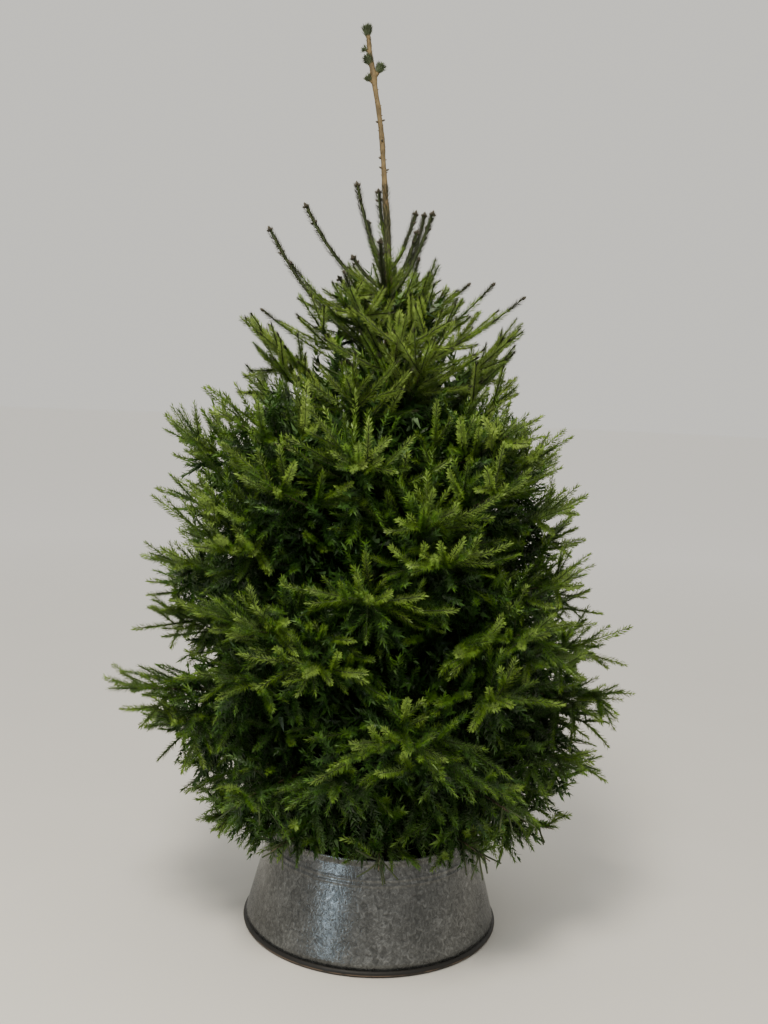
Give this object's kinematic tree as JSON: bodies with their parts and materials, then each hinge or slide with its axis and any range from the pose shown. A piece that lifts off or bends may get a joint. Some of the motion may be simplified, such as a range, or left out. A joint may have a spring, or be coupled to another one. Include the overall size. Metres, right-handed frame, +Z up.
{
  "type": "christmas tree",
  "caption": "Cut Norway spruce Christmas tree: tapering trunk with a bare leader, tiers of boughs and needle foliage, standing in a flared galvanised metal stand.",
  "frame": {"origin": "centre of the stand's flat underside, on the floor", "axes": "+Z up along the tree, -Y towards the front from which the tree is seen, +X to the right seen from there"},
  "size_m": [1.0878, 1.0358, 1.8403],
  "materials": {
    "needles": "matt to satin green needles",
    "bark": "rough brown bark",
    "galvanised_steel": "weathered zinc with a fine spangle",
    "rim_paint": "dark brown, worn",
    "stand_steel": "black, satin"
  },
  "bodies": {
    "root": {"bough_1_1": "bark", "bough_1_2": "bark", "bough_1_3": "bark", "bough_1_4": "bark", "bough_1_5": "bark", "bough_2_1": "bark", "bough_2_2": "bark", "bough_2_3": "bark", "bough_2_4": "bark", "bough_2_5": "bark", "bough_3_1": "bark", "bough_3_2": "bark", "bough_3_3": "bark", "bough_3_4": "bark", "bough_3_5": "bark", "clamp_screw_1": "stand_steel", "clamp_screw_2": "stand_steel", "clamp_screw_3": "stand_steel", "foliage_1_1": "needles", "foliage_1_2": "needles", "foliage_1_3": "needles", "foliage_1_4": "needles", "foliage_1_5": "needles", "foliage_2_1": "needles", "foliage_2_2": "needles", "foliage_2_3": "needles", "foliage_2_4": "needles", "foliage_2_5": "needles", "foliage_3_1": "needles", "foliage_3_2": "needles", "foliage_3_3": "needles", "foliage_3_4": "needles", "foliage_3_5": "needles", "foliage_4_1": "needles", "foliage_4_2": "needles", "foliage_4_3": "needles", "foliage_4_4": "needles", "foliage_4_5": "needles", "foliage_5_1": "needles", "foliage_5_2": "needles", "foliage_5_3": "needles", "foliage_5_4": "needles", "foliage_6_1": "needles", "foliage_6_2": "needles", "foliage_6_3": "needles", "foliage_6_4": "needles", "foliage_7_1": "needles", "foliage_7_2": "needles", "foliage_7_3": "needles", "foliage_7_4": "needles", "foliage_8_1": "needles", "foliage_8_2": "needles", "foliage_8_3": "needles", "foliage_8_4": "needles", "leader_tip": "needles", "stand_base_plate": "stand_steel", "stand_foot_rim": "rim_paint", "stand_shell": "galvanised_steel", "stand_socket": "stand_steel", "trunk": "bark"}
  },
  "joints": []
}
